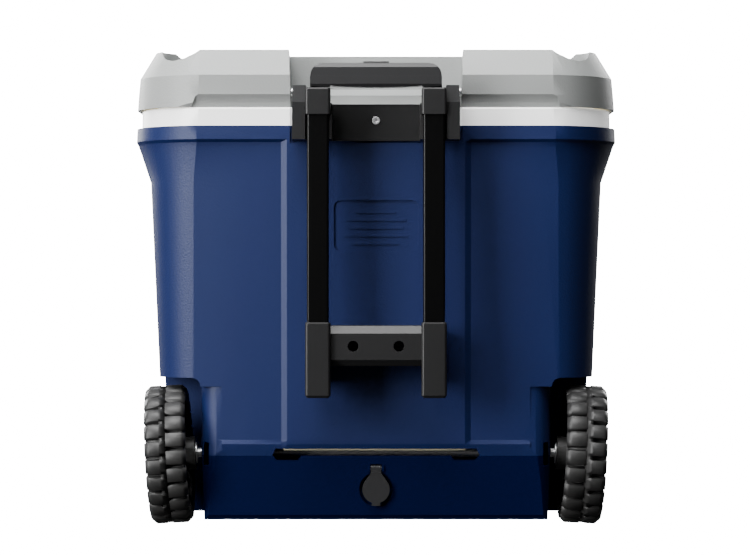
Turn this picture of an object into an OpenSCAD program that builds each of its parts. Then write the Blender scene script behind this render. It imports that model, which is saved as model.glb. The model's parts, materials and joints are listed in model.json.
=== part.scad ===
// Wheeled cooler: insulated chest on two wheels with a hinged lid and a
// telescoping pull handle. Millimetres. The handle side faces -Y, up is +Z.

/* [Body] */
// Width of the collar, side to side
body_w = 502; // [400:1:640]
// Depth of the collar, handle side to front
body_d = 519; // [420:1:700]
// Height to the top of the lid
total_h = 489; // [430:1:620]
// Wall of the moulded shells
wall = 3; // [2:0.5:4]
// Foam between shell and liner
foam = 26; // [20:1:32]

/* [Lid] */
// Radius of the cup holders in the lid corners
cup_r = 34.2; // [33.4:0.2:40]
// Depth of the cup holders
cup_deep = 17; // [8:1:20]
// Radius of the lid hinge pins
pin_r = 3; // [2:0.25:3.5]

/* [Wheels] */
// Outer radius of the wheels
wheel_r = 71.5; // [60:0.5:80]
// Width of a wheel
wheel_w = 42; // [30:1:46]
// Lean of the wheels, tops outwards
camber = 3; // [0:0.5:4]
// Tread blocks in each row
lugs = 24; // [16:1:32]
// Radius of the axle
axle_r = 4.75; // [3.5:0.25:6]
// Radial running gap of hubs, pins and barrels
run_gap = 0.06; // [0.02:0.01:0.1]

/* [Handle] */
// Distance between the rail centres
rail_pitch = 117; // [104:1:124]
// Width of a rail
rail_w = 22; // [20:0.5:24]
// Width across the hand grip
grip_w = 132; // [126:1:142]
// Gap between sliding tubes
slide_gap = 0.3; // [0.2:0.05:0.4]

/* [Drain] */
// Bore of the drain
drain_r = 7; // [5:0.5:8]

/* [Hidden] */

navy = [0.09, 0.15, 0.33];
grey = [0.68, 0.69, 0.69];
white = [0.93, 0.93, 0.92];
black = [0.07, 0.07, 0.075];
dark = [0.16, 0.16, 0.17];
steel = [0.75, 0.76, 0.78];
foam_c = [0.93, 0.88, 0.72];

ha = body_w / 2;            // half width of the collar
gear = 46;                  // how far the handle stands out of the body
yr = -(body_d - gear) / 2;  // back plane of the collar
yf = yr + body_d;
dz = total_h - 489;         // everything above the wheels rises with this
s15 = sin(15);
c15 = cos(15);
big = 1000;

panel_fall = 4;             // side panels curve away by this much at the corner
z_seam = 72.6;
z_floor = 30;
z_panel = 85.6;
z_rim0 = 410.3 + dz;
z_rim = 428.9 + dz;
z_lid0 = 429.6 + dz;
z_pin = 445 + dz;
z_break = 462 + dz;
z_deck = 484.6 + dz;
d_pin = 12;
x_rec = 87.8;               // half width of the lid recess and bracket notch
well_x = 180;
well_z = 152.5;
well_d = 142;
wheel_x = ha - 37;
wheel_d = 55;
wheel_z = wheel_r * cos(camber) + (wheel_w / 2 - 5) * sin(camber) - 0.048;
axle_x = 176;
axle_z = wheel_z + (wheel_x - axle_x) * tan(camber);
rail_x = rail_pitch / 2;
rail_d = -36;
rail_t = 16;
z_r0 = 139;
z_r1 = 440 + dz;
lift = 250 + min(0, dz);

// ---------- outlines and lofts ----------
function arc(cx, cy, r, a0, a1, n) = [for (i = [0 : n])
  let (a = a0 + (a1 - a0) * i / n) [cx + r * cos(a), cy + r * sin(a)]];
// Half width a, back at y0, front at y1, crease at xf. Side panels are set in
// by p and curve away by a share f of panel_fall towards the crease.
function half_plan(a, y0, y1, xf, p, f, n) =
  let (r = (a - xf) / (1 - s15), cx = a - r, q = p + f * panel_fall,
    bow = [for (t = [0.35, 0.6, 0.82]) [97 + t * (xf - 97), p + f * panel_fall * t * t]])
  concat([[91, y0], [97, y0 + p]],
    [for (b = bow) [b[0], y0 + b[1]]],
    arc(cx, y0 + q + r * c15, r, -75, 0, n),
    arc(cx, y1 - q - r * c15, r, 0, 75, n),
    [for (i = [2 : -1 : 0]) [bow[i][0], y1 - bow[i][1]]],
    [[97, y1 - p], [91, y1]]);
function mirrored(h) = concat(h, [for (i = [len(h) - 1 : -1 : 0]) [-h[i][0], h[i][1]]]);
function plan(a, e, xf, p, f = 0, n = 8) = mirrored(half_plan(a, yr + e, yf - e, xf, p, f, n));
function round_box(w, h, r, n = 5) = concat(
  arc(w / 2 - r, -h / 2 + r, r, -90, 0, n), arc(w / 2 - r, h / 2 - r, r, 0, 90, n),
  arc(-w / 2 + r, h / 2 - r, r, 90, 180, n), arc(-w / 2 + r, -h / 2 + r, r, 180, 270, n));

// Solid through outlines of equal length at rising heights, closed by fans
// from the middle of each end.
module loft(outs, zs) {
  n = len(outs[0]);
  m = len(outs);
  polyhedron(
    points = concat([for (k = [0 : m - 1]) for (p = outs[k]) [p[0], p[1], zs[k]]],
      [for (k = [0, m - 1]) [(outs[k][0][0] + outs[k][floor(n / 2)][0]) / 2,
        (outs[k][0][1] + outs[k][floor(n / 2)][1]) / 2 + 0.37, zs[k]]]),
    faces = concat(
      [for (i = [0 : n - 1]) [n * m, i, (i + 1) % n]],
      [for (k = [0 : m - 2]) for (i = [0 : n - 1])
        [k * n + i, (k + 1) * n + i, (k + 1) * n + (i + 1) % n]],
      [for (k = [0 : m - 2]) for (i = [0 : n - 1])
        [k * n + i, (k + 1) * n + (i + 1) % n, k * n + (i + 1) % n]],
      [for (i = [0 : n - 1]) [n * m + 1, (m - 1) * n + (i + 1) % n, (m - 1) * n + i]]));
}
module from_secs(secs, o) {
  loft([for (s = secs) plan(s[1] - o, s[2] + o, s[3] - o * s15, s[4], len(s) > 5 ? s[5] : 0)],
       [for (s = secs) s[0]]);
}
module along_x(x0, x1) { translate([x0, 0, 0]) rotate([90, 0, 90]) linear_extrude(x1 - x0) children(); }
module along_y(y0, y1) { translate([0, y1, 0]) rotate([90, 0, 0]) linear_extrude(y1 - y0) children(); }
module box(x0, x1, y0, y1, z0, z1) { translate([x0, y0, z0]) cube([x1 - x0, y1 - y0, z1 - z0]); }
module both() { children(); mirror([1, 0, 0]) children(); }
module rod_y(x, y0, y1, z, r) { translate([x, y1, z]) rotate([90, 0, 0]) cylinder(h = y1 - y0, r = r, $fn = 48); }
module rod_x(x0, x1, y, z, r) { translate([x0, y, z]) rotate([0, 90, 0]) cylinder(h = x1 - x0, r = r, $fn = 48); }
module prism(w, h, r, z0, z1) { translate([0, 0, z0]) linear_extrude(z1 - z0) polygon(round_box(w, h, r)); }

// ---------- body ----------
// Set-back of the back face at height z.
function back(z) = z > 354 + dz ? 2.3 * (396 + dz - z) / 42
  : 2.3 + (354 + dz - z) * 7.7 / (212.5 + dz);

// height, half width, set-back, crease, panel inset, share of the curve
body_secs = [
  [z_seam, ha - 30.4, 17.3, 184, 0, 0],
  [z_panel - 1, ha - 29, 12.4, 185, 1.6, 0.4],
  [z_panel + 3.4, ha - 28.7, 12, 185.5, 3, 0.7],
  [141.5, ha - 26.4, 10, 187, 3, 1],
  [354 + dz, ha - 16.2, 2.3, 186.5, 3, 1],
  [388 + dz, ha - 3.8, 0.45, 183.5, 3, 0.25],
  [393.4 + dz, ha - 1.7, 0.15, 183, 3, 0],
  [396.4 + dz, ha, 0, 183, 0, 0],
  [410.2 + dz, ha - 0.8, 0, 183, 0, 0]];
tray_secs = [
  [6.5, ha - 38, 25, 179, 0],
  [11.5, ha - 34.5, 21, 181, 0],
  [z_seam, ha - 30.4, 17.3, 184, 0]];
// Inner face of the shell, before its wall is taken off.
inner_secs = concat([for (i = [0 : 6]) body_secs[i]], [
  [396.4 + dz, ha - 3, 3, 183, 0, 0],
  [410.2 + dz, ha - 3.4, 3, 183, 0, 0]]);

module well(o) {
  for (s = [-1, 1]) scale([s, 1, 1]) {
    along_y(yr - 60, yr + well_d + o)
      polygon(concat([[176 - o, -5]], [[179.5 - o, z_seam]],
        arc(well_x + 9 - o, well_z + o - 9, 9, 180, 90, 4),
        [[ha + 40, well_z + o], [ha + 40, -5]]));
    translate([0, 0, -5]) linear_extrude(well_z + o - 4)
      polygon(concat([[181 - o, yr + 44]],
        arc(158 - o, yr + 38, 22, 0, -90, 6),
        [[158 - o, yr - 20], [181 - o, yr - 20]]));
  }
}
module channel(o, low = 62) {
  box(-well_x + 3 - o, well_x - 3 + o, yr + 21 - o, yr + 66 + o, low - o, 86 + o);
}
module slot() {
  along_y(yr - 5, yr + 30) polygon([[-107, z_seam - 1], [-103, 80], [103, 80], [107, z_seam - 1]]);
}
module notch() { box(-x_rec, x_rec, yr - 5, yr + 4.2, 392.3 + dz, 500 + dz); }
module hand_pockets(o) {
  both() translate([ha - 26 - o, 0, 352 + dz]) rotate([0, 90, 0])
    linear_extrude(60) polygon(round_box(34 + 2 * o, 120 + 2 * o, 10 + o, 4));
}

module axle_holes() { both() rod_x(well_x - 6, well_x + 6, ay, axle_z, 8.02); }

module outer_shell() {
  color(navy) difference() {
    from_secs(body_secs, 0);
    difference() {
      from_secs([for (i = [0 : 8]) let (s = inner_secs[i])
        i == 0 ? [z_seam - 1, s[1], s[2], s[3], 0, 0] : i == 8 ? [s[0] + 1, s[1], s[2], s[3], 0, 0] : s], wall);
      well(wall);
      channel(wall);
      box(-x_rec - 3, x_rec + 3, yr - 5, yr + 7.2, 389 + dz, 500 + dz);
      hand_pockets(wall);
      box(-46, 46, yr, yr + 12, 276, 340);
    }
    well(0);
    channel(0);
    slot();
    notch();
    axle_holes();
    hand_pockets(0);
    label_recess();
    for (s = [-1, 1]) rod_y(s * 23, yr - 5, yr + 26, 186, 2.2);
    rod_y(0, yr - 5, yr + 20, 415 + dz, 2.2);
  }
  color(navy) for (k = [0 : 4]) intersection() {
    along_y(yr + 2, yr + 11)
      polygon([for (p = round_box([40, 62, 56, 66, 48][k], 2.2, 1)) [p[0], p[1] + 322 - k * 8]]);
    label_block(0.8);
  }
}
// The plain recess for a label follows the sloping back face.
module label_block(d) {
  along_x(-80, 80) polygon([[yr + back(270) + d, 270], [yr + back(345) + d, 345], [yr + 30, 345], [yr + 30, 270]]);
}
module label_recess() {
  difference() {
    along_y(yr, yr + 12) polygon([for (p = round_box(86, 52, 7)) [p[0], p[1] + 308]]);
    label_block(1.6);
  }
}

module base_tray() {
  color(navy) difference() {
    union() {
      difference() {
        from_secs(tray_secs, 0);
        difference() {
          from_secs(concat(tray_inside(wall, z_seam), [[z_seam + 1, ha - 30.4, 17.3, 184, 0]]), wall);
          well(wall);
          channel(wall);
          rod_y(0, yr, yr + 27.6, 38, 20.3);
          rod_y(0, yr + 20, yr + 62, 38, 12.6);
          box(-9, 9, yr, yr + 27.6, 38, 67);
        }
        well(0);
        channel(0);
        rod_y(0, yr, yr + 24.5, 38, 17.3);
        rod_y(0, yr, yr + 120, 38, 9.6);
        box(-5.9, 5.9, yr, yr + 24.5, 38, 64);
        both() along_y(yr - 5, yr + 30) polygon([[106, z_seam + 1], [102, 68], [80, 68], [76, z_seam + 1]]);
        axle_holes();
      }
      both() box(5.9, 8.4, yr + 16.6, yr + 24.5, 56.4, 63);
    }
    rod_x(-9, 9, yr + 19.6, 60, 1.3);
    for (p = screw_at) translate([p[0], p[1], 5]) cylinder(h = 8, r = 2.12, $fn = 32);
  }
}
function tray_inside(rise, top) = [[6.5 + rise, ha - 38, 25, 179, 0],
  [11.5 + rise, ha - 34.5, 21, 181, 0], [top, ha - 30.4, 17.3, 184, 0]];
// Where the base is screwed on, and how high each head sits: the front pair
// holds the feet.
screw_at = [[ha - 80, yf - 62, 0.9], [80 - ha, yf - 62, 0.9], [150, yr + 190, 4.3], [-150, yr + 190, 4.3]];

module front_feet() {
  color(black) for (s = [-1, 1]) translate([s * (ha - 80), yf - 62, 0]) difference() {
    loft([round_box(54, 34, 8), round_box(58, 38, 9)], [0, 6.5]);
    translate([0, 0, -1]) cylinder(h = 4, r = 5, $fn = 32);
    translate([0, 0, -1]) cylinder(h = 10, r = 2.12, $fn = 32);
  }
}
module base_screws() {
  color(steel) for (p = screw_at) translate(p) {
    cylinder(h = 2.1, r = 4, $fn = 24);
    cylinder(h = 14, r = 2.1, $fn = 24);
  }
}

// ---------- liner and foam ----------
drain_in = yr + 66 + foam;   // outer face of the liner behind the drain
function liner_secs(o, z0, z1) = [
  [z0, ha - 60.5 - o, 50 + o, ha - 60.5 - 27 - o * s15, 0],
  [z1, ha - 34.5 - o, 32 + o, ha - 34.5 - 30 - o * s15, 0]];
module cavity(z1) {
  difference() {
    union() {
      from_secs(liner_secs(0, z_floor, z1), 0);
      box(-17, 17, drain_in + wall - 4, drain_in + wall + 19, z_floor - 6, z_floor + 1);
    }
    well(wall + foam + wall);
    channel(wall + foam, 0);
  }
}
module liner_out(z1) {
  difference() {
    union() {
      from_secs(liner_secs(-wall, z_floor - wall, z1), 0);
      box(-20, 20, drain_in - 4, drain_in + 2 * wall + 19, z_floor - 9, z_floor + 1);
    }
    well(wall + foam);
    channel(foam, 0);
  }
}
rim_secs = [
  [z_rim0 - 0.1, ha - 6.2, 1.6, 181.5, 0],
  [z_rim - 1.6, ha - 6.4, 1.8, 181, 0],
  [z_rim, ha - 7.8, 3.2, 180, 0]];
module liner() {
  color(white) difference() {
    union() {
      liner_out(z_rim);
      from_secs(rim_secs, 0);
    }
    cavity(z_rim + 1);
    difference() {
      from_secs([[z_rim0 - 2, ha - 6.2, 1.6, 181.5, 0], [z_rim - wall, ha - 6.4, 1.8, 181, 0]], wall);
      liner_out(z_rim);
      box(-x_rec - 3, x_rec + 3, yr - 5, yr + 7.2, 389 + dz, 500 + dz);
    }
    notch();
    rod_y(0, yr - 5, yr + 20, 415 + dz, 2.2);
    rod_y(0, drain_in - 30, drain_in + 12, 38, drain_r + 2.6);
  }
}
module insulation() {
  color(foam_c) difference() {
    union() {
      from_secs(concat([for (i = [0, 1]) tray_inside(wall + 0.02, 50)[i]],
        [for (i = [0 : 8]) let (s = inner_secs[i]) i == 8 ? [410 + dz, s[1], s[2], s[3], 0, 0] : s]), wall + 0.02);
    }
    well(wall + 0.02);
    channel(wall + 0.02);
    liner_out(z_rim);
    hand_pockets(wall + 0.02);
    box(-46.1, 46.1, yr, yr + 12.1, 275.9, 340.1);
    box(-x_rec - 3.1, x_rec + 3.1, yr - 5, yr + 7.3, 388.9 + dz, 500 + dz);
    rod_y(0, yr - 5, yr + 28, 38, 20.4);
    rod_y(0, yr, drain_in + 5, 38, 12.7);
    box(-9.1, 9.1, yr, yr + 27.7, 38, 67.1);
    for (s = [-1, 1]) rod_y(s * 23, yr - 5, yr + 34, 186, 2.3);
    rod_y(0, yr - 5, yr + 24, 415 + dz, 2.3);
    for (p = screw_at) translate([p[0], p[1], 5]) cylinder(h = 16, r = 2.2, $fn = 32);
  }
}

// ---------- lid ----------
lid_secs = [
  [z_lid0, ha - 1.1, 0, 181, 0],
  [442.2 + dz, ha - 2, 0, 181, 0],
  [z_break, ha - 4, 0, 180.5, 0],
  [total_h, ha - 21, 18, 181, 0]];
cup_x = ha - 64;
cup_d = 51.5;
module cups(r, z0) {
  for (s = [-1, 1]) for (y = [yr + cup_d, yf - cup_d])
    translate([s * cup_x, y, z0]) cylinder(h = 60, r = r, $fn = 64);
}
// Under-cut along the back, ending at the corner creases.
module under_chamfer(o) {
  intersection() {
    along_x(-big / 2, big / 2) polygon([[yr - 10, z_lid0 - 20], [yr - 10, 442.2 + dz], [yr - 0.01 + o, 442.2 + dz],
      [yr + 9 + o, z_lid0], [yr + 9 + o, z_lid0 - 20]]);
    along_y(yr - 20, yr + 20) polygon([[-183 - o, 445 + dz], [183 + o, 445 + dz], [189 + o, z_lid0 - 2], [-189 - o, z_lid0 - 2]]);
  }
  // lets the back corners swing past the rim
  along_x(50 - ha - o, ha - 50 + o) polygon([[yr - 10, z_lid0 - 20], [yr - 10, z_lid0 + 5.4], [yr + 0.4 + o, z_lid0 + 5.4],
    [yr + 9 + o, z_lid0], [yr + 9 + o, z_lid0 - 20]]);
}
module lid_recess(o) {
  intersection() {
    along_x(-big / 2, big / 2) polygon([[yr - 20, z_lid0 - 5], [yr - 20, total_h + 5], [yr + 54 + o, total_h + 5],
      [yr + 51 + o, 450 + dz - o], [yr + 24 + o, 442.2 + dz - o], [yr + 31 + o, z_lid0 - 5]]);
    along_y(yr - 30, yr + 80) polygon([[-x_rec + 0.4 - o, z_lid0 - 6], [-x_rec + 0.4 - o, z_break - 15],
      [-x_rec - 1.8 - o, total_h + 6], [x_rec + 1.8 + o, total_h + 6], [x_rec - 0.4 + o, z_break - 15], [x_rec - 0.4 + o, z_lid0 - 6]]);
  }
}
module deck(o) {
  translate([0, (yr + yf) / 2, 0]) loft([round_box(body_w - 92 + 2 * o, body_d - 78 + 2 * o, 52, 6),
    round_box(body_w - 78 + 2 * o, body_d - 70 + 2 * o, 56, 6)], [z_deck - o, total_h + 1]);
  box(-x_rec - 1 - o, x_rec + 1 + o, yr + 30, yr + 110, z_deck - o, total_h + 2);
  // the open lid leans past the drawn-out handle
  box(-rail_x - rail_w / 2 - 5 - o, rail_x + rail_w / 2 + 5 + o, yf - 60, yf + 5, total_h - 2 - o, total_h + 2);
}
module front_pull(o) {
  along_y(yf - 22 - o, yf + 5) polygon([[-75 - o, z_lid0 - 5], [-66 - o, 446 + dz + o], [66 + o, 446 + dz + o], [75 + o, z_lid0 - 5]]);
}
module lid_outer(o) {
  difference() {
    from_secs(o == 0 ? lid_secs : [[z_lid0 - 1, ha - 1.1, 0, 181, 0], [442.2 + dz, ha - 2, 0, 181, 0],
      [z_break, ha - 4, 0, 180.5, 0], [total_h - o, ha - 19.6, 16.6, 181, 0]], o);
    under_chamfer(o);
    lid_recess(o);
    deck(o);
    cups(cup_r + o, total_h - cup_deep - o);
    front_pull(o);
    if (o > 0) {
      both() rod_x(x_rec - 1, x_rec + 16, yr + d_pin, z_pin, pin_r + 4);
    }
  }
}
module lid_shell() {
  color(grey) difference() {
    lid_outer(0);
    lid_outer(wall);
    both() rod_x(x_rec - 5, x_rec + 13, yr + d_pin, z_pin, pin_r + run_gap);
  }
}
plug_gap = 5;
// Outline of the plug under the lid at height z, drawn in by o.
function plug_at(o, z) = let (w = plug_gap + o + (z_lid0 - z) * 0.08)
  [z, ha - 34.5 - w, 32 + w, ha - 64.5 - w * s15, 0];
module lid_liner() {
  color(white) difference() {
    union() {
      intersection() {
        translate([0, 0, z_lid0]) linear_extrude(wall) polygon(plan(ha - 20, 34, 176, 0));
        lid_outer(wall + 0.05);
      }
      from_secs([plug_at(0, z_lid0 - 11), plug_at(0, z_lid0 + 0.5)], 0);
    }
    from_secs([plug_at(wall, z_lid0 - 11 + wall), plug_at(wall, z_lid0 + 8)], 0);
  }
}
module lid_insulation() {
  color(foam_c) union() {
    intersection() {
      from_secs([[z_lid0 + wall + 0.05, ha, 0, 180, 0], [total_h, ha, 0, 180, 0]], 0);
      lid_outer(wall + 0.05);
    }
    from_secs([plug_at(wall + 0.05, z_lid0 - 10.95 + wall), plug_at(wall + 0.05, z_lid0 + wall + 0.1)], 0);
  }
}
module lid_seal() {
  color(dark) difference() {
    from_secs([plug_at(-4, z_lid0 - 7), plug_at(-4, z_lid0 - 3.5)], 0);
    from_secs([plug_at(-0.03, z_lid0 - 8), plug_at(-0.03, z_lid0 - 3)], 0);
  }
}

// ---------- handle brackets and rails ----------
module rail_void(z0, z1, o) {
  for (s = [-1, 1]) translate([s * rail_x, yr + rail_d, 0]) prism(rail_w + 2 * o, rail_t + 2 * o, 2.4, z0, z1);
}
ear_x = rail_x + 12.8;
module hinge_bracket() {
  color(dark) difference() {
    union() {
      box(-ear_x - 13.4, ear_x + 13.4, yr - 4, yr + 4.2, 394.3 + dz, 428.8 + dz);
      box(-ear_x - 13.4, ear_x + 13.4, yr - 4, yr + 0.5, 420 + dz, 431.5 + dz);
      both() {
        along_x(ear_x, ear_x + 13.2) polygon([[yr - 40, 394.3 + dz], [yr - 41, 430 + dz], [yr - 41, 432 + dz],
          [yr - 38, 433 + dz], [yr - 10, 450.8 + dz], [yr + 15, 450.8 + dz], [yr + 19.5, 446 + dz], [yr + 19.5, 439 + dz],
          [yr + 12, 431 + dz], [yr + 4.2, 429.2 + dz], [yr + 4.2, 394.3 + dz]]);
        box(rail_x - 13.9, rail_x - rail_w / 2 - 0.1, yr - 40, yr, 394.3 + dz, 418.6 + dz);
        box(rail_x - 13.9, ear_x + 0.1, yr + rail_d + rail_t / 2, yr, 394.3 + dz, 418.6 + dz);
        box(rail_x - 13.9, ear_x + 0.1, yr + rail_d + 11, yr, 418 + dz, 431.5 + dz);
      }
    }
    rod_y(0, yr - 10, yr + 20, 415 + dz, 2.2);
    rod_y(0, yr - 5, yr - 1.4, 415 + dz, 4.9);
    both() rod_x(ear_x - 1, ear_x + 15, yr + d_pin, z_pin, pin_r);
    both() box(rail_x - 9.5, rail_x + 9.5, yr - 20, yr + 1, 397 + dz, 416 + dz);
    rail_void(390 + dz, 419 + dz, 0.05);
  }
}
module hinge_pin(s) {
  color(steel) scale([s, 1, 1]) union() {
    rod_x(ear_x + 0.5, x_rec + 10, yr + d_pin, z_pin, pin_r);
    rod_x(ear_x + 13.25, x_rec - 0.5, yr + d_pin, z_pin, pin_r + 1.2);
  }
}
module screw(x, y, z, head_r, head_h, len) {
  difference() {
    union() {
      rod_y(x, y, y + head_h, z, head_r);
      rod_y(x, y + head_h - 0.01, y + len, z, 2.15);
    }
    for (a = [0, 90]) translate([x, y + 0.5, z]) rotate([0, a, 0]) cube([1, 2.4, head_r * 1.25], center = true);
  }
}
module bracket_screw() { color(steel) screw(0, yr - 3.9, 415 + dz, 4, 2.45, 22); }
module rail(s) {
  color(black) translate([s * rail_x, yr + rail_d, 0]) difference() {
    prism(rail_w, rail_t, 2.4, z_r0, z_r1);
    prism(rail_w - 2.6, rail_t - 2.6, 1.2, z_r0 - 1, z_r1 + 1);
  }
}
mid_w = rail_w - 2.6 - 2 * slide_gap;
mid_t = rail_t - 2.6 - 2 * slide_gap;
in_w = mid_w - 2.4 - 2 * slide_gap;
in_t = mid_t - 2.4 - 2 * slide_gap;
module rail_cap(s) {
  color(dark) translate([s * rail_x, yr + rail_d, 0]) difference() {
    union() {
      loft([round_box(25.5, 19.8, 3), round_box(25.5, 19.8, 3), round_box(24, 18.2, 2.4)], [419 + dz, 444.4 + dz, 446 + dz]);
    }
    prism(rail_w + 0.02, rail_t + 0.02, 2.4, 418 + dz, z_r1);
    prism(mid_w + 0.7, mid_t + 0.7, 1.4, 430 + dz, 450 + dz);
  }
}
module foot_bracket() {
  y0 = yr + rail_d;
  color(dark) difference() {
    union() {
      for (s = [-1, 1]) translate([s * rail_x, y0, 0])
        loft([round_box(21.4, 16, 2.4), round_box(25.4, 20, 3), round_box(25.4, 20, 3), round_box(24.4, 19, 3)], [134, 136.5, 208.5, 210]);
      for (s = [-1, 1]) translate([s * rail_x, 0, 0]) along_x(-9, 9)
        polygon([[y0 + 5, 150], [yr + back(150) - 0.05, 150], [yr + back(202) - 0.05, 202], [y0 + 5, 202]]);
      along_x(-rail_x + 12.2, rail_x - 12.2)
        polygon([[y0 + 1.5, 166], [yr + back(166) - 0.05, 166], [yr + back(206.5) - 0.05, 206.5], [y0 + 1.5, 206.5],
          [y0 - 4.5, 198.8], [y0 - 4.5, 172.2]]);
    }
    rail_void(z_r0 - 0.05, 230, 0.05);
    for (s = [-1, 1]) {
      rod_y(s * 23, yr - 60, yr + 26, 186, 2.3);
      rod_y(s * 23, yr - 60, yr - 12, 186, 5.4);
      box(s * 23 - 8.5, s * 23 + 8.5, yr - 8, yr + 20, 168, 178);
      box(s * 23 - 8.5, s * 23 + 8.5, yr - 8, yr + 20, 193, 203);
    }
    box(-9, 9, yr - 30, yr + 20, 169, 203.5);
  }
}
module foot_bracket_screws() {
  color(dark) for (s = [-1, 1]) screw(s * 23, yr - 15.5, 186, 4.6, 3.4, 46);
}

// ---------- sliding tubes ----------
module tube(s, w, t, r, th, z0, z1) {
  translate([s * rail_x, yr + rail_d, 0]) difference() {
    prism(w, t, r, z0, z1);
    prism(w - 2 * th, t - 2 * th, r * 0.6, z0 - 1, z1 + 1);
  }
}
module mid_tube(s) { color(black) tube(s, mid_w, mid_t, 1.4, 1.2, 150, 441 + dz); }
module mid_ferrule(s) { color(dark) tube(s, mid_w, mid_t, 1.4, 1.5, 441 + dz, 445.6 + dz); }
module mid_slider(s) {
  color(dark) union() {
    tube(s, mid_w + 0.3, mid_t + 0.3, 1.4, 1.65, 143, 150);
  }
}
module inner_tube(s) { color(black) tube(s, in_w, in_t, 1.2, 1.1, 160, 458 + dz); }
module inner_slider(s) { color(dark) translate([s * rail_x, yr + rail_d, 0]) prism(in_w + 0.3, in_t + 0.3, 1.2, 153, 160); }

// ---------- grip ----------
g_t = 18;
z_g0 = 446.6 + dz;
z_g1 = 471 + dz;
z_gs = 457.5 + dz;
gy = yr + rail_d;
function grip_outline(o) = let (w = grip_w / 2 - o) concat(
  [[-w, z_g0 + 2.5], [-w + 1, z_g0 + 0.8], [-w + 15, z_g0], [-w + 17, z_g0 - 0.4]],
  [for (i = [0 : 6]) let (x = (-w + 20) + (2 * w - 40) * i / 6) [x, z_g0 + 1.2 - 1.6 * (1 - pow(x / (w - 20), 2))]],
  [[w - 17, z_g0 - 0.4], [w - 15, z_g0], [w - 1, z_g0 + 0.8], [w, z_g0 + 2.5]],
  arc(w - 13, z_g1 - 13, 13 - o, 0, 90, 5), arc(-w + 13, z_g1 - 13, 13 - o, 90, 180, 5));
module grip_block() {
  intersection() {
    along_y(gy - g_t / 2, gy + g_t / 2) polygon(grip_outline(0));
    along_x(-big / 2, big / 2) polygon([[gy - 6, z_g0 - 3], [gy + 6, z_g0 - 3], [gy + 9, z_g0 + 3], [gy + 9, z_g1 - 4.5],
      [gy + 5, z_g1], [gy - 5, z_g1], [gy - 9, z_g1 - 4.5], [gy - 9, z_g0 + 3]]);
  }
}
module tube_sockets(z1) { for (s = [-1, 1]) translate([s * rail_x, gy, 0]) prism(in_w + 0.02, in_t + 0.02, 1.2, z_g0 - 5, z1); }
btn_w = 26;
module grip() {
  color(black) difference() {
    grip_block();
    box(-big / 2, big / 2, gy - 20, gy + 20, z_g0 - 10, z_gs);
    tube_sockets(458.02 + dz);
    box(-btn_w / 2 - 0.4, btn_w / 2 + 0.4, gy - 5.4, gy + 5.4, z_gs - 1, z_g1 + 5);
    box(-40, 40, gy - 6.5, gy + 6.5, z_gs - 1, z_g1 - 6);
    for (s = [-1, 1]) translate([s * 44, gy, z_gs - 1]) cylinder(h = 8, r = 1.4, $fn = 24);
  }
}
module grip_base() {
  color(black) difference() {
    intersection() {
      grip_block();
      box(-big / 2, big / 2, gy - 20, gy + 20, z_g0 - 10, z_gs);
    }
    tube_sockets(z_gs + 1);
    box(-40, 40, gy - 6.5, gy + 6.5, z_g0 + 2.4, z_gs + 1);
    for (s = [-1, 1]) translate([s * 44, gy, z_g0 - 3]) {
      cylinder(h = 20, r = 1.5, $fn = 24);
      cylinder(h = 6, r = 2.9, $fn = 24);
    }
  }
}
module grip_screws() {
  color(steel) for (s = [-1, 1]) translate([s * 44, gy, z_g0 + 1.2]) {
    cylinder(h = 1.8, r = 2.8, $fn = 24);
    cylinder(h = 14, r = 1.4, $fn = 24);
  }
}
press = 3.5;
module release_button() {
  color(dark) union() {
    along_x(-btn_w / 2, btn_w / 2) polygon([[gy - 5, z_gs + 3.5], [gy + 5, z_gs + 3.5], [gy + 5, z_g1 + 0.4],
      [gy + 3.6, z_g1 + 1.6], [gy - 3.6, z_g1 + 1.6], [gy - 5, z_g1 + 0.4]]);
    box(-36, 36, gy - 5.8, gy + 5.8, z_gs + 3.5, z_gs + 6.9);
  }
}
module button_spring() {
  color(steel) translate([0, gy, 0]) for (k = [0 : 4]) translate([0, 0, z_g0 + 2.5 + k * 2.7]) difference() {
    cylinder(h = k == 4 ? z_gs + 3.45 - z_g0 - 2.5 - 4 * 2.7 : 2.71, r = k % 2 == 0 ? 4.6 : 4.1, $fn = 32);
    translate([0, 0, -1]) cylinder(h = 12, r = 3.1, $fn = 32);
  }
}

// ---------- axle and wheels ----------
ay = yr + wheel_d;
module on_axle(s) { scale([s, 1, 1]) translate([axle_x, ay, axle_z]) rotate([0, 90 + camber, 0]) children(); }
ax_out = (wheel_x - axle_x) / cos(camber);
module axle() {
  color(steel) union() {
    rod_x(-axle_x, axle_x, ay, axle_z, axle_r + 0.25);
    for (s = [-1, 1]) on_axle(s)
      translate([0, 0, -1]) cylinder(h = ax_out + wheel_w / 2 + 4, r = axle_r, $fn = 48);
  }
}
module axle_bush(s) {
  color(black) scale([s, 1, 1]) difference() {
    union() {
      rod_x(well_x - 3.5, well_x + 0.6, ay, axle_z, 8);
      rod_x(well_x - 8, well_x - 3.1, ay, axle_z, 10.5);
    }
    rod_x(well_x - 9, well_x + 9, ay, axle_z - 0.05, axle_r + 0.6);
  }
}
module axle_washers() {
  color(steel) for (s = [-1, 1]) on_axle(s) translate([0, 0, ax_out - 29]) difference() {
    cylinder(h = 1.6, r = 11, $fn = 48);
    translate([0, 0, -1]) cylinder(h = 4, r = axle_r, $fn = 48);
  }
}
module axle_cap(s) {
  color(steel) on_axle(s) translate([0, 0, ax_out + 12.4]) difference() {
    union() {
      cylinder(h = 2, r = 10, $fn = 48);
      cylinder(h = 13, r = 7.4, $fn = 48);
    }
    translate([0, 0, -1]) cylinder(h = wheel_w / 2 + 3 - 12.4 + 1, r = axle_r, $fn = 48);
  }
}
hub_r = wheel_r - 13;
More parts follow.
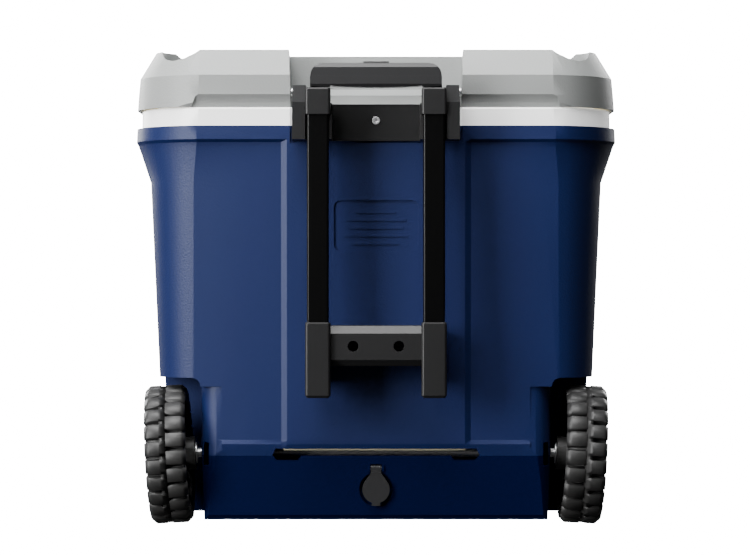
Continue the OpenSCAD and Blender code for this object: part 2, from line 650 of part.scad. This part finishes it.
module wheel_hub(s) {
  color(black) on_axle(s) translate([0, 0, ax_out]) difference() {
    union() {
      translate([0, 0, -27]) cylinder(h = 39, r = 17, $fn = 64);
      translate([0, 0, -2]) cylinder(h = 4, r = hub_r - 2, $fn = 96);
      translate([0, 0, -wheel_w / 2 + 2]) difference() {
        cylinder(h = wheel_w - 4, r = hub_r, $fn = 96);
        translate([0, 0, -1]) cylinder(h = wheel_w, r = hub_r - 4, $fn = 96);
      }
      for (k = [0 : 5]) rotate([0, 0, k * 60]) translate([15, -3, -wheel_w / 2 + 6]) cube([hub_r - 17, 6, wheel_w - 12]);
    }
    translate([0, 0, -30]) cylinder(h = 60, r = axle_r + run_gap, $fn = 64);
    for (k = [0 : 5]) rotate([0, 0, k * 60 + 30]) translate([hub_r * 0.58, 0, -5]) cylinder(h = 10, r = 8, $fn = 40);
  }
}
module wheel_tread(s) {
  h = wheel_w / 2;
  step = 360 / lugs;
  base = wheel_r - 6;
  color(dark) on_axle(s) translate([0, 0, ax_out]) difference() {
    union() {
      rotate_extrude($fn = 96) polygon([[hub_r + 0.02, -h + 1], [base - 3, -h + 1], [base, -h + 4], [base, h - 4],
        [base - 3, h - 1], [hub_r + 0.02, h - 1]]);
      translate([0, 0, -0.9]) cylinder(h = 6.5, r = wheel_r - 0.8, $fn = 96);
      for (k = [0 : lugs - 1]) {
        rotate([0, 0, k * step]) lug(-h, -1, step * 0.72, -1);
        rotate([0, 0, (k + 0.5) * step]) lug(5.5, h, step * 0.72, 1);
      }
    }
    translate([0, 0, -h - 1]) cylinder(h = wheel_w + 2, r = hub_r + 0.02, $fn = 96);
  }
}
// One tread block from z0 to z1, its outer shoulder sloping.
module lug(z0, z1, a, side) {
  r0 = wheel_r - 9;
  w = 2 * wheel_r * sin(a / 2) / 2;
  rt = sqrt(wheel_r * wheel_r - w * w);
  rotate([90, 0, 0]) translate([0, 0, -w]) linear_extrude(2 * w)
    polygon(side < 0 ? [[r0, z0 + 1], [rt - 4.5, z0], [rt, z0 + 5], [rt, z1], [r0, z1]]
      : [[r0, z0], [rt, z0], [rt, z1 - 5], [rt - 4.5, z1], [r0, z1 - 1]]);
}

// ---------- drain ----------
module drain_spout() {
  color(black) difference() {
    union() {
      rod_y(0, yr + 22.2, yr + 24.45, 38, 14);
      rod_y(0, yr + 17.5, yr + 24, 38, drain_r + 3);
      rod_y(0, yr + 24, drain_in + wall + 9, 38, drain_r + 2.5);
    }
    rod_y(0, yr, yr + 130, 38, drain_r);
  }
}
module drain_gasket() {
  color(dark) difference() {
    rod_y(0, drain_in + wall + 0.02, drain_in + wall + 2, 38, drain_r + 5.4);
    rod_y(0, drain_in, drain_in + 20, 38, drain_r + 2.55);
  }
}
module drain_nut() {
  color(black) difference() {
    translate([0, drain_in + wall + 8, 38]) rotate([90, 0, 0]) cylinder(h = 5.98, r = 15, $fn = 6);
    rod_y(0, drain_in, drain_in + 20, 38, drain_r + 2.52);
  }
}
module drain_cap() {
  color(black) difference() {
    union() {
      rod_y(0, yr + 14.4, yr + 21.9, 38, 14);
      along_y(yr + 14.4, yr + 17.6) polygon([[-5.35, 55.6], [5.35, 55.6], [5.6, 54], [8.5, 50.5], [12.5, 44.5], [-12.5, 44.5], [-8.5, 50.5], [-5.6, 54]]);
      rod_x(-5.35, 5.35, yr + 19.6, 60, 3);
      box(-5.35, 5.35, yr + 16.6, yr + 19.6, 54, 60.5);
      box(-4.4, 4.4, yr + 14.4, yr + 17, 21.4, 26);
    }
    rod_y(0, yr + 16.9, yr + 30, 38, drain_r + 4);
    rod_x(-9, 9, yr + 19.6, 60, 1.3 + run_gap);
  }
}
module drain_pin() { color(steel) rod_x(-8.4, 8.4, yr + 19.6, 60, 1.3); }

outer_shell();
base_tray();
insulation();
liner();
lid_shell();
lid_liner();
lid_insulation();
lid_seal();
hinge_bracket();
hinge_pin(-1);  // hinge_pin_left
hinge_pin(1);  // hinge_pin_right
bracket_screw();
rail(-1);  // rail_left
rail(1);  // rail_right
rail_cap(-1);  // rail_cap_left
rail_cap(1);  // rail_cap_right
foot_bracket();
foot_bracket_screws();
mid_tube(-1);  // mid_tube_left
mid_tube(1);  // mid_tube_right
mid_slider(-1);  // mid_slider_left
mid_slider(1);  // mid_slider_right
mid_ferrule(-1);  // mid_ferrule_left
mid_ferrule(1);  // mid_ferrule_right
inner_tube(-1);  // inner_tube_left
inner_tube(1);  // inner_tube_right
inner_slider(-1);  // inner_slider_left
inner_slider(1);  // inner_slider_right
grip();
grip_base();
grip_screws();
release_button();
button_spring();
axle();
axle_bush(-1);  // axle_bush_left
axle_bush(1);  // axle_bush_right
axle_washers();
axle_cap(-1);  // axle_cap_left
axle_cap(1);  // axle_cap_right
wheel_hub(-1);  // wheel_hub_left
wheel_hub(1);  // wheel_hub_right
wheel_tread(-1);  // wheel_tread_left
wheel_tread(1);  // wheel_tread_right
drain_spout();
drain_gasket();
drain_nut();
drain_cap();
drain_pin();
front_feet();
base_screws();
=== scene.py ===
"""Looks of a wheeled cooler, built around its fixed CAD frame.

Every piece is modelled in the frame's own metres and rides on the CAD body
that it belongs to. Hard mouldings are softened copies of their CAD nodes or
keep their CAD shape, and every finish is a node material.
"""

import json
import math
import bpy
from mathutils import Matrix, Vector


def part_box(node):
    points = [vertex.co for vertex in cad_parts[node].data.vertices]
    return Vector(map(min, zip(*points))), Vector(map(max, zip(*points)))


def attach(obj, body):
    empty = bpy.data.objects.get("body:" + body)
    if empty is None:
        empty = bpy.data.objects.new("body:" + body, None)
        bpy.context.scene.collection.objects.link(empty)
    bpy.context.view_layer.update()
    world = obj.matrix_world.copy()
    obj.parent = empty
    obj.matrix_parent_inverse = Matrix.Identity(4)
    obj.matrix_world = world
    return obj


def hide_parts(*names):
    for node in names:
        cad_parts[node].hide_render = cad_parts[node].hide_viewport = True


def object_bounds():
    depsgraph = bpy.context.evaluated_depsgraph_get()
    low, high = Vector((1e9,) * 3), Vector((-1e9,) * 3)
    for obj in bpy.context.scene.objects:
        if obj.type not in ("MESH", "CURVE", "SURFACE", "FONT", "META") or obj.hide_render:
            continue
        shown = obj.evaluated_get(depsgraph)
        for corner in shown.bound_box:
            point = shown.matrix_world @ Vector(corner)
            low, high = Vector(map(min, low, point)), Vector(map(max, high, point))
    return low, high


bl_info = {
    "name": "Wheeled Cooler",
    "version": (1, 0, 0),
    "blender": (4, 5, 0),
    "location": "View3D > Sidebar > Cooler",
    "description": "Builds the looks of a wheeled cooler around its CAD frame",
    "category": "Object",
}

import bmesh
import bpy
from bpy.props import FloatProperty, FloatVectorProperty, PointerProperty
from mathutils import Matrix, Vector

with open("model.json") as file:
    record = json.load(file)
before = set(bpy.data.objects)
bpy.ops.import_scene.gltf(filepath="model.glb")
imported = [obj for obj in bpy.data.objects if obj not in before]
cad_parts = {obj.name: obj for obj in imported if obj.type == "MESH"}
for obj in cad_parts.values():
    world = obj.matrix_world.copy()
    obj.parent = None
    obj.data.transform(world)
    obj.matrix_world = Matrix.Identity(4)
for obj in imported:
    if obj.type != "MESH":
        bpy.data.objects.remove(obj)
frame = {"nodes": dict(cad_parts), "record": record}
CAD_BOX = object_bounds()
LOW, HIGH = CAD_BOX
MM = 0.001
WELD = 0.004 * MM  # points closer than this are one
SPECK = 0.003 * MM  # edges shorter than this go after rounding
FLAT = 0.4  # degrees within which faces count as one flat stretch
DUST = (0.22, 0.215, 0.2, 1)
SCUFF_HEIGHT = 0.16  # metres above the ground where scuffs end
SIDES = {"left": -1, "right": 1}


def colour(name, text, default):
    """A linear colour property."""
    return FloatVectorProperty(
        name=name, description=text, subtype="COLOR", size=3, min=0, max=1, default=default
    )


def length(name, text, default):
    """A length property in metres."""
    return FloatProperty(name=name, description=text, subtype="DISTANCE", unit="LENGTH", default=default)


class CoolerFinish(bpy.types.PropertyGroup):
    """Colours of the mouldings and metals."""

    shell: colour("Shell", "Colour of the chest moulding", (0.0042, 0.011, 0.06))
    # Painted shade: the base is the same navy plastic as the shell, given this much darker colour to stand in
    # for the shade that falls low on the chest.
    base: colour("Base", "Colour of the base moulding", (0.0004, 0.0025, 0.024))
    sheen: colour("Sheen", "Tint of the reflections on the navy mouldings", (0.88, 0.92, 1.0))
    lid: colour("Lid", "Colour of the lid moulding", (0.25, 0.259, 0.255))
    liner: colour("Liner", "Colour of the liner and its rim", (0.94, 0.94, 0.935))
    bracket: colour("Brackets", "Colour of the handle brackets", (0.0105, 0.0105, 0.011))
    grip: colour("Grip", "Colour of the hand grip", (0.012, 0.012, 0.013))
    rail: colour("Rails", "Colour of the coated rails", (0.0014, 0.0014, 0.0015))
    wheel: colour("Wheels", "Colour of the wheels", (0.014, 0.014, 0.0143))
    steel: colour("Steel", "Colour of plated steel", (0.8, 0.8, 0.81))
    foam: colour("Foam", "Colour of the insulation", (0.80, 0.72, 0.48))


class CoolerSizes(bpy.types.PropertyGroup):
    """Sizes of edges and of surface grain."""

    shell_edge: length("Shell edge", "Rounding of the large mouldings' edges", 1.6 * MM)
    fine_edge: length("Fine edge", "Rounding of small parts' edges", 0.5 * MM)
    grain: length("Grain", "Size of one pebble of the moulded grain", 1.9 * MM)
    grain_depth: length("Grain depth", "Height of the moulded grain", 0.09 * MM)


class CoolerView(bpy.types.PropertyGroup):
    """Camera and stage."""

    distance: length("Distance", "Camera to the back of the collar", 3.0)
    height: length("Height", "Camera above the ground", 0.2476)
    lens: FloatProperty(name="Lens", description="Focal length in millimetres", default=141.3)
    floor: colour("Floor", "Colour of the studio floor", (0.93, 0.93, 0.93))
    fill: FloatProperty(name="Room light", description="Even light from all round", default=0.05)
    floor_glow: FloatProperty(name="Floor glow", description="Lifts the floor to white", default=20.0)
    backdrop: FloatProperty(name="Backdrop", description="Brightness seen behind the object", default=20.0)


# ---------------------------------------------------------------- materials


def new_group(name, inputs, outputs):
    """An empty shader node group with float inputs {name: default} and outputs [(name, kind)]."""
    group = bpy.data.node_groups.new(name, "ShaderNodeTree")
    for key, value in inputs.items():
        socket = group.interface.new_socket(key, in_out="INPUT", socket_type="NodeSocketFloat")
        socket.default_value = value
    for key, kind in outputs:
        group.interface.new_socket(key, in_out="OUTPUT", socket_type=kind)
    return group, group.nodes.new("NodeGroupInput"), group.nodes.new("NodeGroupOutput")


def scaled_coords(nodes, links, scale_socket):
    """Object coordinates times the group's own scale."""
    coords = nodes.new("ShaderNodeTexCoord")
    scale = nodes.new("ShaderNodeVectorMath")
    scale.operation = "SCALE"
    links.new(coords.outputs["Object"], scale.inputs[0])
    links.new(scale_socket, scale.inputs["Scale"])
    return scale.outputs[0]


def math_node(nodes, links, kind, a, b, clamp=False):
    """A Math node whose operands are sockets or numbers."""
    node = nodes.new("ShaderNodeMath")
    node.operation = kind
    node.use_clamp = clamp
    for socket, value in zip(node.inputs, (a, b)):
        if isinstance(value, (int, float)):
            socket.default_value = value
        else:
            links.new(value, socket)
    return node.outputs[0]


def pebble_group():
    """Moulded pebble grain: rounded cells of uneven height with soft valleys."""
    group, given, made = new_group(
        "Pebble grain",
        {"Cells per metre": 500.0, "Unevenness": 0.4},
        [("Height", "NodeSocketFloat"), ("Shade", "NodeSocketFloat")],
    )
    nodes, links = group.nodes, group.links
    coords = scaled_coords(nodes, links, given.outputs["Cells per metre"])
    cells = nodes.new("ShaderNodeTexVoronoi")
    cells.feature = "SMOOTH_F1"
    cells.inputs["Scale"].default_value = 1.0
    cells.inputs["Smoothness"].default_value = 0.65
    links.new(coords, cells.inputs["Vector"])
    drift = nodes.new("ShaderNodeTexNoise")
    drift.inputs["Scale"].default_value = 0.7
    drift.inputs["Detail"].default_value = 3.0
    links.new(coords, drift.inputs["Vector"])
    dome = math_node(nodes, links, "SUBTRACT", 1.0, cells.outputs["Distance"])
    uneven = math_node(nodes, links, "MULTIPLY", drift.outputs["Fac"], given.outputs["Unevenness"])
    links.new(math_node(nodes, links, "ADD", dome, uneven), made.inputs["Height"])
    broad = nodes.new("ShaderNodeTexNoise")
    broad.inputs["Scale"].default_value = 0.012
    broad.inputs["Detail"].default_value = 4.0
    links.new(coords, broad.inputs["Vector"])
    links.new(broad.outputs["Fac"], made.inputs["Shade"])
    return group


def scuff_group():
    """Light rubbing and dust: a mask that is strongest low down and in patches."""
    group, given, made = new_group(
        "Scuffs", {"Amount": 0.15, "Reach": 0.12}, [("Mask", "NodeSocketFloat")]
    )
    nodes, links = group.nodes, group.links
    coords = nodes.new("ShaderNodeTexCoord")
    split = nodes.new("ShaderNodeSeparateXYZ")
    links.new(coords.outputs["Object"], split.inputs[0])
    low = math_node(nodes, links, "DIVIDE", split.outputs["Z"], given.outputs["Reach"])
    low = math_node(nodes, links, "SUBTRACT", 1.0, low, clamp=True)
    patches = nodes.new("ShaderNodeTexNoise")
    patches.inputs["Scale"].default_value = 60.0
    patches.inputs["Detail"].default_value = 6.0
    patches.inputs["Roughness"].default_value = 0.65
    links.new(coords.outputs["Object"], patches.inputs["Vector"])
    mask = math_node(nodes, links, "MULTIPLY", low, patches.outputs["Fac"])
    links.new(math_node(nodes, links, "MULTIPLY", mask, given.outputs["Amount"]), made.inputs["Mask"])
    return group


def brushed_group():
    """Fine drawn lines along Z for coated rails and plated rod."""
    group, given, made = new_group(
        "Drawn lines", {"Lines per metre": 4000.0, "Stretch": 0.02}, [("Height", "NodeSocketFloat")]
    )
    nodes, links = group.nodes, group.links
    coords = scaled_coords(nodes, links, given.outputs["Lines per metre"])
    split = nodes.new("ShaderNodeSeparateXYZ")
    join = nodes.new("ShaderNodeCombineXYZ")
    links.new(coords, split.inputs[0])
    links.new(split.outputs["X"], join.inputs["X"])
    links.new(split.outputs["Y"], join.inputs["Y"])
    drawn_out = math_node(nodes, links, "MULTIPLY", split.outputs["Z"], given.outputs["Stretch"])
    links.new(drawn_out, join.inputs["Z"])
    noise = nodes.new("ShaderNodeTexNoise")
    noise.inputs["Scale"].default_value = 1.0
    noise.inputs["Detail"].default_value = 2.0
    links.new(join.outputs[0], noise.inputs["Vector"])
    links.new(noise.outputs["Fac"], made.inputs["Height"])
    return group


def place(material, group, values):
    """Puts a node group into a material with its own values."""
    node = material.node_tree.nodes.new("ShaderNodeGroup")
    node.node_tree = group
    for key, value in values.items():
        node.inputs[key].default_value = value
    return node


def start_material(name, rgb, roughness, metallic=0.0, specular=0.5):
    """A Principled material with its constant values set on the shader itself."""
    material = bpy.data.materials.new(name)
    material.use_nodes = True
    shader = material.node_tree.nodes["Principled BSDF"]
    shader.inputs["Base Color"].default_value = (*rgb, 1)
    shader.inputs["Roughness"].default_value = roughness
    shader.inputs["Metallic"].default_value = metallic
    shader.inputs["Specular IOR Level"].default_value = specular
    return material, shader


def tint_range(material, fac, dark, light):
    """A colour between two, by a mask."""
    nodes, links = material.node_tree.nodes, material.node_tree.links
    mix = nodes.new("ShaderNodeMix")
    mix.data_type = "RGBA"
    mix.inputs["A"].default_value = (*dark, 1)
    mix.inputs["B"].default_value = (*light, 1)
    links.new(fac, mix.inputs["Factor"])
    return mix.outputs["Result"]


def add_bump(material, shader, height, distance, strength=1.0):
    """Feeds a height through a Bump node into the shader's normal."""
    nodes, links = material.node_tree.nodes, material.node_tree.links
    bump = nodes.new("ShaderNodeBump")
    bump.inputs["Distance"].default_value = distance
    bump.inputs["Strength"].default_value = strength
    links.new(height, bump.inputs["Height"])
    links.new(bump.outputs["Normal"], shader.inputs["Normal"])


def moulded(
    name, rgb, roughness, grain, depth, spread=0.12, scuff=0.0, specular=0.5, sheen=(1, 1, 1), glow=0.0
):
    """Moulded plastic: pebble grain, cloudy tone, low scuffs, and an optional glow that is painted light, an
    emission that brightens the surface where it lies in shade.
    """
    material, shader = start_material(name, rgb, roughness, specular=specular)
    shader.inputs["Specular Tint"].default_value = (*sheen, 1)
    nodes, links = material.node_tree.nodes, material.node_tree.links
    pebble = place(material, GROUPS["pebble"], {"Cells per metre": 1 / grain, "Unevenness": 0.5})
    dark = [c * (1 - spread) for c in rgb]
    light = [min(1, c * (1 + spread)) for c in rgb]
    tone = tint_range(material, pebble.outputs["Shade"], dark, light)
    if scuff:
        rub = place(material, GROUPS["scuffs"], {"Amount": scuff, "Reach": SCUFF_HEIGHT})
        mix = nodes.new("ShaderNodeMix")
        mix.data_type = "RGBA"
        mix.inputs["B"].default_value = DUST
        links.new(rub.outputs["Mask"], mix.inputs["Factor"])
        links.new(tone, mix.inputs["A"])
        tone = mix.outputs["Result"]
    links.new(tone, shader.inputs["Base Color"])
    rough = math_node(nodes, links, "MULTIPLY_ADD", pebble.outputs["Height"], 0.06)
    rough.node.inputs[2].default_value = roughness - 0.05
    links.new(rough, shader.inputs["Roughness"])
    add_bump(material, shader, pebble.outputs["Height"], depth)
    # Painted light: the glow is emission that lifts the surface out of its shade, though the part is no lamp.
    if glow:
        shader.inputs["Emission Color"].default_value = (1, 1, 0.99, 1)
        shader.inputs["Emission Strength"].default_value = glow
    return material


def drawn_metal(name, rgb, roughness, metallic, depth, specular=0.5):
    """Coated or plated metal with faint drawn lines."""
    material, shader = start_material(name, rgb, roughness, metallic, specular)
    lines = place(material, GROUPS["drawn"], {"Lines per metre": 3000.0, "Stretch": 0.015})
    dark = [c * 0.85 for c in rgb]
    light = [min(1, c * 1.12) for c in rgb]
    tone = tint_range(material, lines.outputs["Height"], dark, light)
    material.node_tree.links.new(tone, shader.inputs["Base Color"])
    add_bump(material, shader, lines.outputs["Height"], depth)
    return material


GROUPS = {}
FINISH = {}


def make_materials():
    """One material per finish, kept by name in FINISH."""
    tones = bpy.context.scene.cooler_finish
    sizes = bpy.context.scene.cooler_sizes
    GROUPS.update(pebble=pebble_group(), scuffs=scuff_group(), drawn=brushed_group())
    grain, depth = sizes.grain, sizes.grain_depth
    FINISH.update(
        shell=moulded(
            "Navy shell", tones.shell, 0.5, grain, depth * 1.3, spread=0.1, specular=0.33, sheen=tones.sheen
        ),
        # Painted shade: the base finish is a darker, less reflective copy of the shell's navy, standing in
        # for the shade on the low base.
        base=moulded(
            "Navy base painted shade", tones.base, 0.55, grain, depth, spread=0.1, specular=0.06, sheen=tones.sheen
        ),
        lid=moulded("Grey lid", tones.lid, 0.5, grain, depth * 1.5, spread=0.03),
        # The liner and its rim get painted light: a glow of 0.4 that brightens them where they lie in shade.
        liner=moulded("White liner painted glow", tones.liner, 0.32, grain * 3, depth * 0.2, spread=0.015, glow=0.4),
        bracket=moulded(
            "Bracket plastic", tones.bracket, 0.42, grain * 0.5, depth * 0.3, spread=0.15, specular=0.3
        ),
        grip=moulded("Grip plastic", tones.grip, 0.46, grain * 0.6, depth * 0.45, spread=0.15, specular=0.42),
        wheel=moulded(
            "Wheel plastic", tones.wheel, 0.5, grain * 0.5, depth * 0.5, spread=0.2, scuff=0.12, specular=0.38
        ),
        rail=drawn_metal("Coated rail", tones.rail, 0.3, 0.0, 0.004 * MM, specular=0.16),
        steel=drawn_metal("Plated steel", tones.steel, 0.42, 1.0, 0.004 * MM),
        foam=moulded("Insulation foam", tones.foam, 0.9, grain * 0.4, depth, spread=0.08),
        rubber=moulded("Seal rubber", tones.grip, 0.7, grain * 0.4, depth * 0.4, spread=0.1),
    )


# ------------------------------------------------------------------- pieces

BODY_OF = {n: b for b, ns in frame["record"]["behaviour"]["bodies"].items() for n in ns}


def piece(name, bm, node, finish):
    """Makes a finished object of a bmesh that stands for a CAD node."""
    mesh = bpy.data.meshes.new(name)
    bm.to_mesh(mesh)
    bm.free()
    obj = bpy.data.objects.new(name, mesh)
    bpy.context.scene.collection.objects.link(obj)
    mesh.materials.append(FINISH[finish])
    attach(obj, BODY_OF[node])
    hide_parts(node)
    level = obj.modifiers.new("Even normals", "WEIGHTED_NORMAL")
    level.mode = "FACE_AREA"
    level.weight = 60
    level.keep_sharp = True
    return obj


def weld_copy(node):
    """A CAD node's mesh, merged and with its flat stretches joined."""
    bm = bmesh.new()
    bm.from_mesh(frame["nodes"][node].data)
    bmesh.ops.remove_doubles(bm, verts=bm.verts, dist=WELD)
    bmesh.ops.dissolve_limit(
        bm, angle_limit=math.radians(FLAT), verts=bm.verts, edges=bm.edges, delimit={"NORMAL"}
    )
    return bm


def round_edges(bm, radius, segments=3, angle=21, crease=12):
    """Rounds the edges over an angle and keeps the slighter creases crisp."""
    for face in bm.faces:
        face.smooth = True
    sharp = []
    for edge in bm.edges:
        meet = math.degrees(edge.calc_face_angle(0)) if edge.is_manifold else 0
        edge.smooth = not crease < meet <= angle
        if meet > angle:
            sharp.append(edge)
    bmesh.ops.bevel(
        bm, geom=sharp, offset=radius, offset_type="OFFSET", segments=segments, profile=0.5,
        affect="EDGES", clamp_overlap=True, material=-1, miter_outer="ARC",
    )
    bmesh.ops.dissolve_degenerate(bm, dist=SPECK, edges=bm.edges)


def soften(node, finish, radius, segments=3, angle=21, crease=12):
    """A softened copy of a CAD node as its looks."""
    bm = weld_copy(node)
    round_edges(bm, radius, segments, angle, crease)
    return piece(node + "_soft", bm, node, finish)


def dress(node, finish):
    """Keeps a CAD node's own shape with a better finish."""
    mesh = frame["nodes"][node].data
    mesh.materials.clear()
    mesh.materials.append(FINISH[finish])


class COOLER_OT_chest(bpy.types.Operator):
    """Chest shell, base, liner and insulation"""

    bl_idname = "cooler.chest"
    bl_label = "Chest"

    def execute(self, context):
        sizes = context.scene.cooler_sizes
        soften("outer_shell", "shell", sizes.shell_edge)
        soften("base_tray", "base", sizes.shell_edge)
        soften("liner", "liner", sizes.shell_edge)
        dress("insulation", "foam")
        soften("front_feet", "grip", 1.2 * MM)
        return {"FINISHED"}


class COOLER_OT_lid(bpy.types.Operator):
    """Lid moulding, its liner, foam and seal"""

    bl_idname = "cooler.lid"
    bl_label = "Lid"

    def execute(self, context):
        sizes = context.scene.cooler_sizes
        soften("lid_shell", "lid", sizes.shell_edge)
        soften("lid_liner", "liner", sizes.shell_edge)
        soften("lid_seal", "rubber", 0.6 * MM)
        dress("lid_insulation", "foam")
        return {"FINISHED"}


class COOLER_OT_brackets(bpy.types.Operator):
    """Hinge bracket, foot bracket and rail caps"""

    bl_idname = "cooler.brackets"
    bl_label = "Brackets"

    def execute(self, context):
        soften("hinge_bracket", "bracket", 0.9 * MM)
        soften("foot_bracket", "bracket", 1.0 * MM)
        for side in SIDES:
            soften("rail_cap_" + side, "bracket", 0.8 * MM)
        return {"FINISHED"}


class COOLER_OT_tubes(bpy.types.Operator):
    """Rails, sliding tubes, their sliders and ferrules"""

    bl_idname = "cooler.tubes"
    bl_label = "Rails and tubes"

    def execute(self, context):
        for side in SIDES:
            for part in ("rail", "mid_tube", "inner_tube"):
                soften(f"{part}_{side}", "rail", 0.3 * MM, segments=2)
            for part in ("mid_slider", "mid_ferrule", "inner_slider"):
                soften(f"{part}_{side}", "bracket", 0.3 * MM, segments=2)
        return {"FINISHED"}


class COOLER_OT_grip(bpy.types.Operator):
    """Hand grip with its release button"""

    bl_idname = "cooler.grip"
    bl_label = "Grip"

    def execute(self, context):
        soften("grip", "grip", 1.6 * MM, segments=4)
        soften("grip_base", "grip", 1.2 * MM)
        soften("release_button", "bracket", 0.8 * MM)
        soften("button_spring", "steel", 0.3 * MM)
        return {"FINISHED"}


class COOLER_OT_wheels(bpy.types.Operator):
    """Wheels, axle and what holds them"""

    bl_idname = "cooler.wheels"
    bl_label = "Wheels"

    def execute(self, context):
        for side in SIDES:
            soften("wheel_tread_" + side, "wheel", 0.8 * MM, segments=2)
            soften("wheel_hub_" + side, "wheel", 0.9 * MM)
            soften("axle_bush_" + side, "grip", 0.5 * MM)
            soften("axle_cap_" + side, "steel", 0.5 * MM)
        soften("axle", "steel", 0.5 * MM)
        soften("axle_washers", "steel", 0.3 * MM)
        return {"FINISHED"}


class COOLER_OT_fasteners(bpy.types.Operator):
    """Screws and hinge pins"""

    bl_idname = "cooler.fasteners"
    bl_label = "Screws and pins"

    def execute(self, context):
        for screws in ("bracket_screw", "grip_screws", "base_screws"):
            soften(screws, "steel", 0.3 * MM, segments=2)
        for pin in ("hinge_pin_left", "hinge_pin_right", "drain_pin"):
            soften(pin, "steel", 0.3 * MM, segments=2)
        soften("foot_bracket_screws", "bracket", 0.3 * MM, segments=2)
        return {"FINISHED"}


class COOLER_OT_drain(bpy.types.Operator):
    """Drain spout, gasket, nut and cap"""

    bl_idname = "cooler.drain"
    bl_label = "Drain"

    def execute(self, context):
        soften("drain_spout", "grip", 0.5 * MM)
        soften("drain_nut", "grip", 0.5 * MM)
        soften("drain_gasket", "rubber", 0.3 * MM)
        soften("drain_cap", "grip", 0.8 * MM)
        return {"FINISHED"}


def area_light(name, place_at, target, size, power, tint=(1, 1, 1)):
    """A soft box aimed at a point."""
    data = bpy.data.lights.new(name, "AREA")
    data.shape = "RECTANGLE"
    data.size, data.size_y = size
    data.energy = power
    data.color = tint
    obj = bpy.data.objects.new(name, data)
    bpy.context.scene.collection.objects.link(obj)
    obj.location = place_at
    aim = Vector(target) - Vector(place_at)
    obj.rotation_euler = aim.to_track_quat("-Z", "Y").to_euler()
    return obj


def camera_only(obj):
    """Seen by the camera but throwing no light on anything."""
    obj.visible_diffuse = False
    obj.visible_glossy = False
    obj.visible_transmission = False
    obj.visible_shadow = False


def studio_room(scene, fill, backdrop, floor_colour, floor_glow):
    """A white dome seen only by the camera, a pale floor and a dim even light."""
    world = bpy.data.worlds.new("Studio")
    scene.world = world
    world.use_nodes = True
    background = world.node_tree.nodes["Background"]
    background.inputs["Color"].default_value = (1, 1, 1, 1)
    background.inputs["Strength"].default_value = fill

    bm = bmesh.new()
    bmesh.ops.create_uvsphere(bm, u_segments=48, v_segments=24, radius=9)
    mesh = bpy.data.meshes.new("studio_dome")
    bm.to_mesh(mesh)
    bm.free()
    dome = bpy.data.objects.new("studio_dome", mesh)
    scene.collection.objects.link(dome)
    material, shader = start_material("Studio dome", (0, 0, 0), 1.0, specular=0.0)
    shader.inputs["Emission Color"].default_value = (1, 1, 1, 1)
    shader.inputs["Emission Strength"].default_value = backdrop
    mesh.materials.append(material)
    camera_only(dome)

    bm = bmesh.new()
    bmesh.ops.create_circle(bm, cap_ends=True, segments=64, radius=8.9)
    mesh = bpy.data.meshes.new("studio_floor")
    bm.to_mesh(mesh)
    bm.free()
    floor = bpy.data.objects.new("studio_floor", mesh)
    scene.collection.objects.link(floor)
    material, shader = start_material("Studio floor", floor_colour, 0.7, specular=0.1)
    shader.inputs["Emission Color"].default_value = (1, 1, 1, 1)
    shader.inputs["Emission Strength"].default_value = floor_glow
    mesh.materials.append(material)
    camera_only(floor)


class COOLER_OT_stage(bpy.types.Operator):
    """Floor, soft studio light and camera"""

    bl_idname = "cooler.stage"
    bl_label = "Stage"

    def execute(self, context):
        view = context.scene.cooler_view
        collar_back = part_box("outer_shell")[0].y
        studio_room(context.scene, view.fill, view.backdrop, view.floor, view.floor_glow)
        middle = (0, 0, HIGH.z / 2)
        area_light("Key", (-2.3, -2.0, 0.8), (-0.1, 0, 0.25), (0.9, 1.5), 135)
        area_light("Top", (-0.5, -0.9, 2.5), middle, (2.0, 1.6), 185)
        area_light("Front", (-1.7, -3.0, 1.7), middle, (2.0, 1.4), 42)
        area_light("Far left", (-2.2, 2.6, 1.3), middle, (1.6, 1.4), 110)
        area_light("Far right", (2.0, 2.8, 1.5), middle, (1.6, 1.4), 75)

        data = bpy.data.cameras.new("Camera")
        data.lens = view.lens
        data.sensor_width = 36
        data.shift_x = -0.00133
        data.shift_y = 0.01
        data.clip_end = 50
        camera = bpy.data.objects.new("Camera", data)
        context.scene.collection.objects.link(camera)
        camera.location = (0, collar_back - view.distance, view.height)
        camera.rotation_euler = (math.radians(90), 0, 0)
        context.scene.camera = camera
        return {"FINISHED"}


PIECE_OPERATORS = (
    COOLER_OT_chest,
    COOLER_OT_lid,
    COOLER_OT_brackets,
    COOLER_OT_tubes,
    COOLER_OT_grip,
    COOLER_OT_wheels,
    COOLER_OT_fasteners,
    COOLER_OT_drain,
    COOLER_OT_stage,
)


class COOLER_PT_panel(bpy.types.Panel):
    """Lists the steps that build the cooler"""

    bl_label = "Cooler"
    bl_idname = "COOLER_PT_panel"
    bl_space_type = "VIEW_3D"
    bl_region_type = "UI"
    bl_category = "Cooler"

    def draw(self, context):
        for group in ("cooler_finish", "cooler_sizes", "cooler_view"):
            settings = getattr(context.scene, group)
            for key in settings.__annotations__:
                self.layout.prop(settings, key)
        for operator in PIECE_OPERATORS:
            self.layout.operator(operator.bl_idname)


CLASSES = (CoolerFinish, CoolerSizes, CoolerView, *PIECE_OPERATORS, COOLER_PT_panel)


def register():
    for cls in CLASSES:
        bpy.utils.register_class(cls)
    bpy.types.Scene.cooler_finish = PointerProperty(type=CoolerFinish)
    bpy.types.Scene.cooler_sizes = PointerProperty(type=CoolerSizes)
    bpy.types.Scene.cooler_view = PointerProperty(type=CoolerView)


def unregister():
    for group in ("cooler_finish", "cooler_sizes", "cooler_view"):
        delattr(bpy.types.Scene, group)
    for cls in reversed(CLASSES):
        bpy.utils.unregister_class(cls)


def main():
    register()
    make_materials()
    for operator in PIECE_OPERATORS:
        group, name = operator.bl_idname.split(".")
        getattr(getattr(bpy.ops, group), name)()


if __name__ == "__main__":
    main()
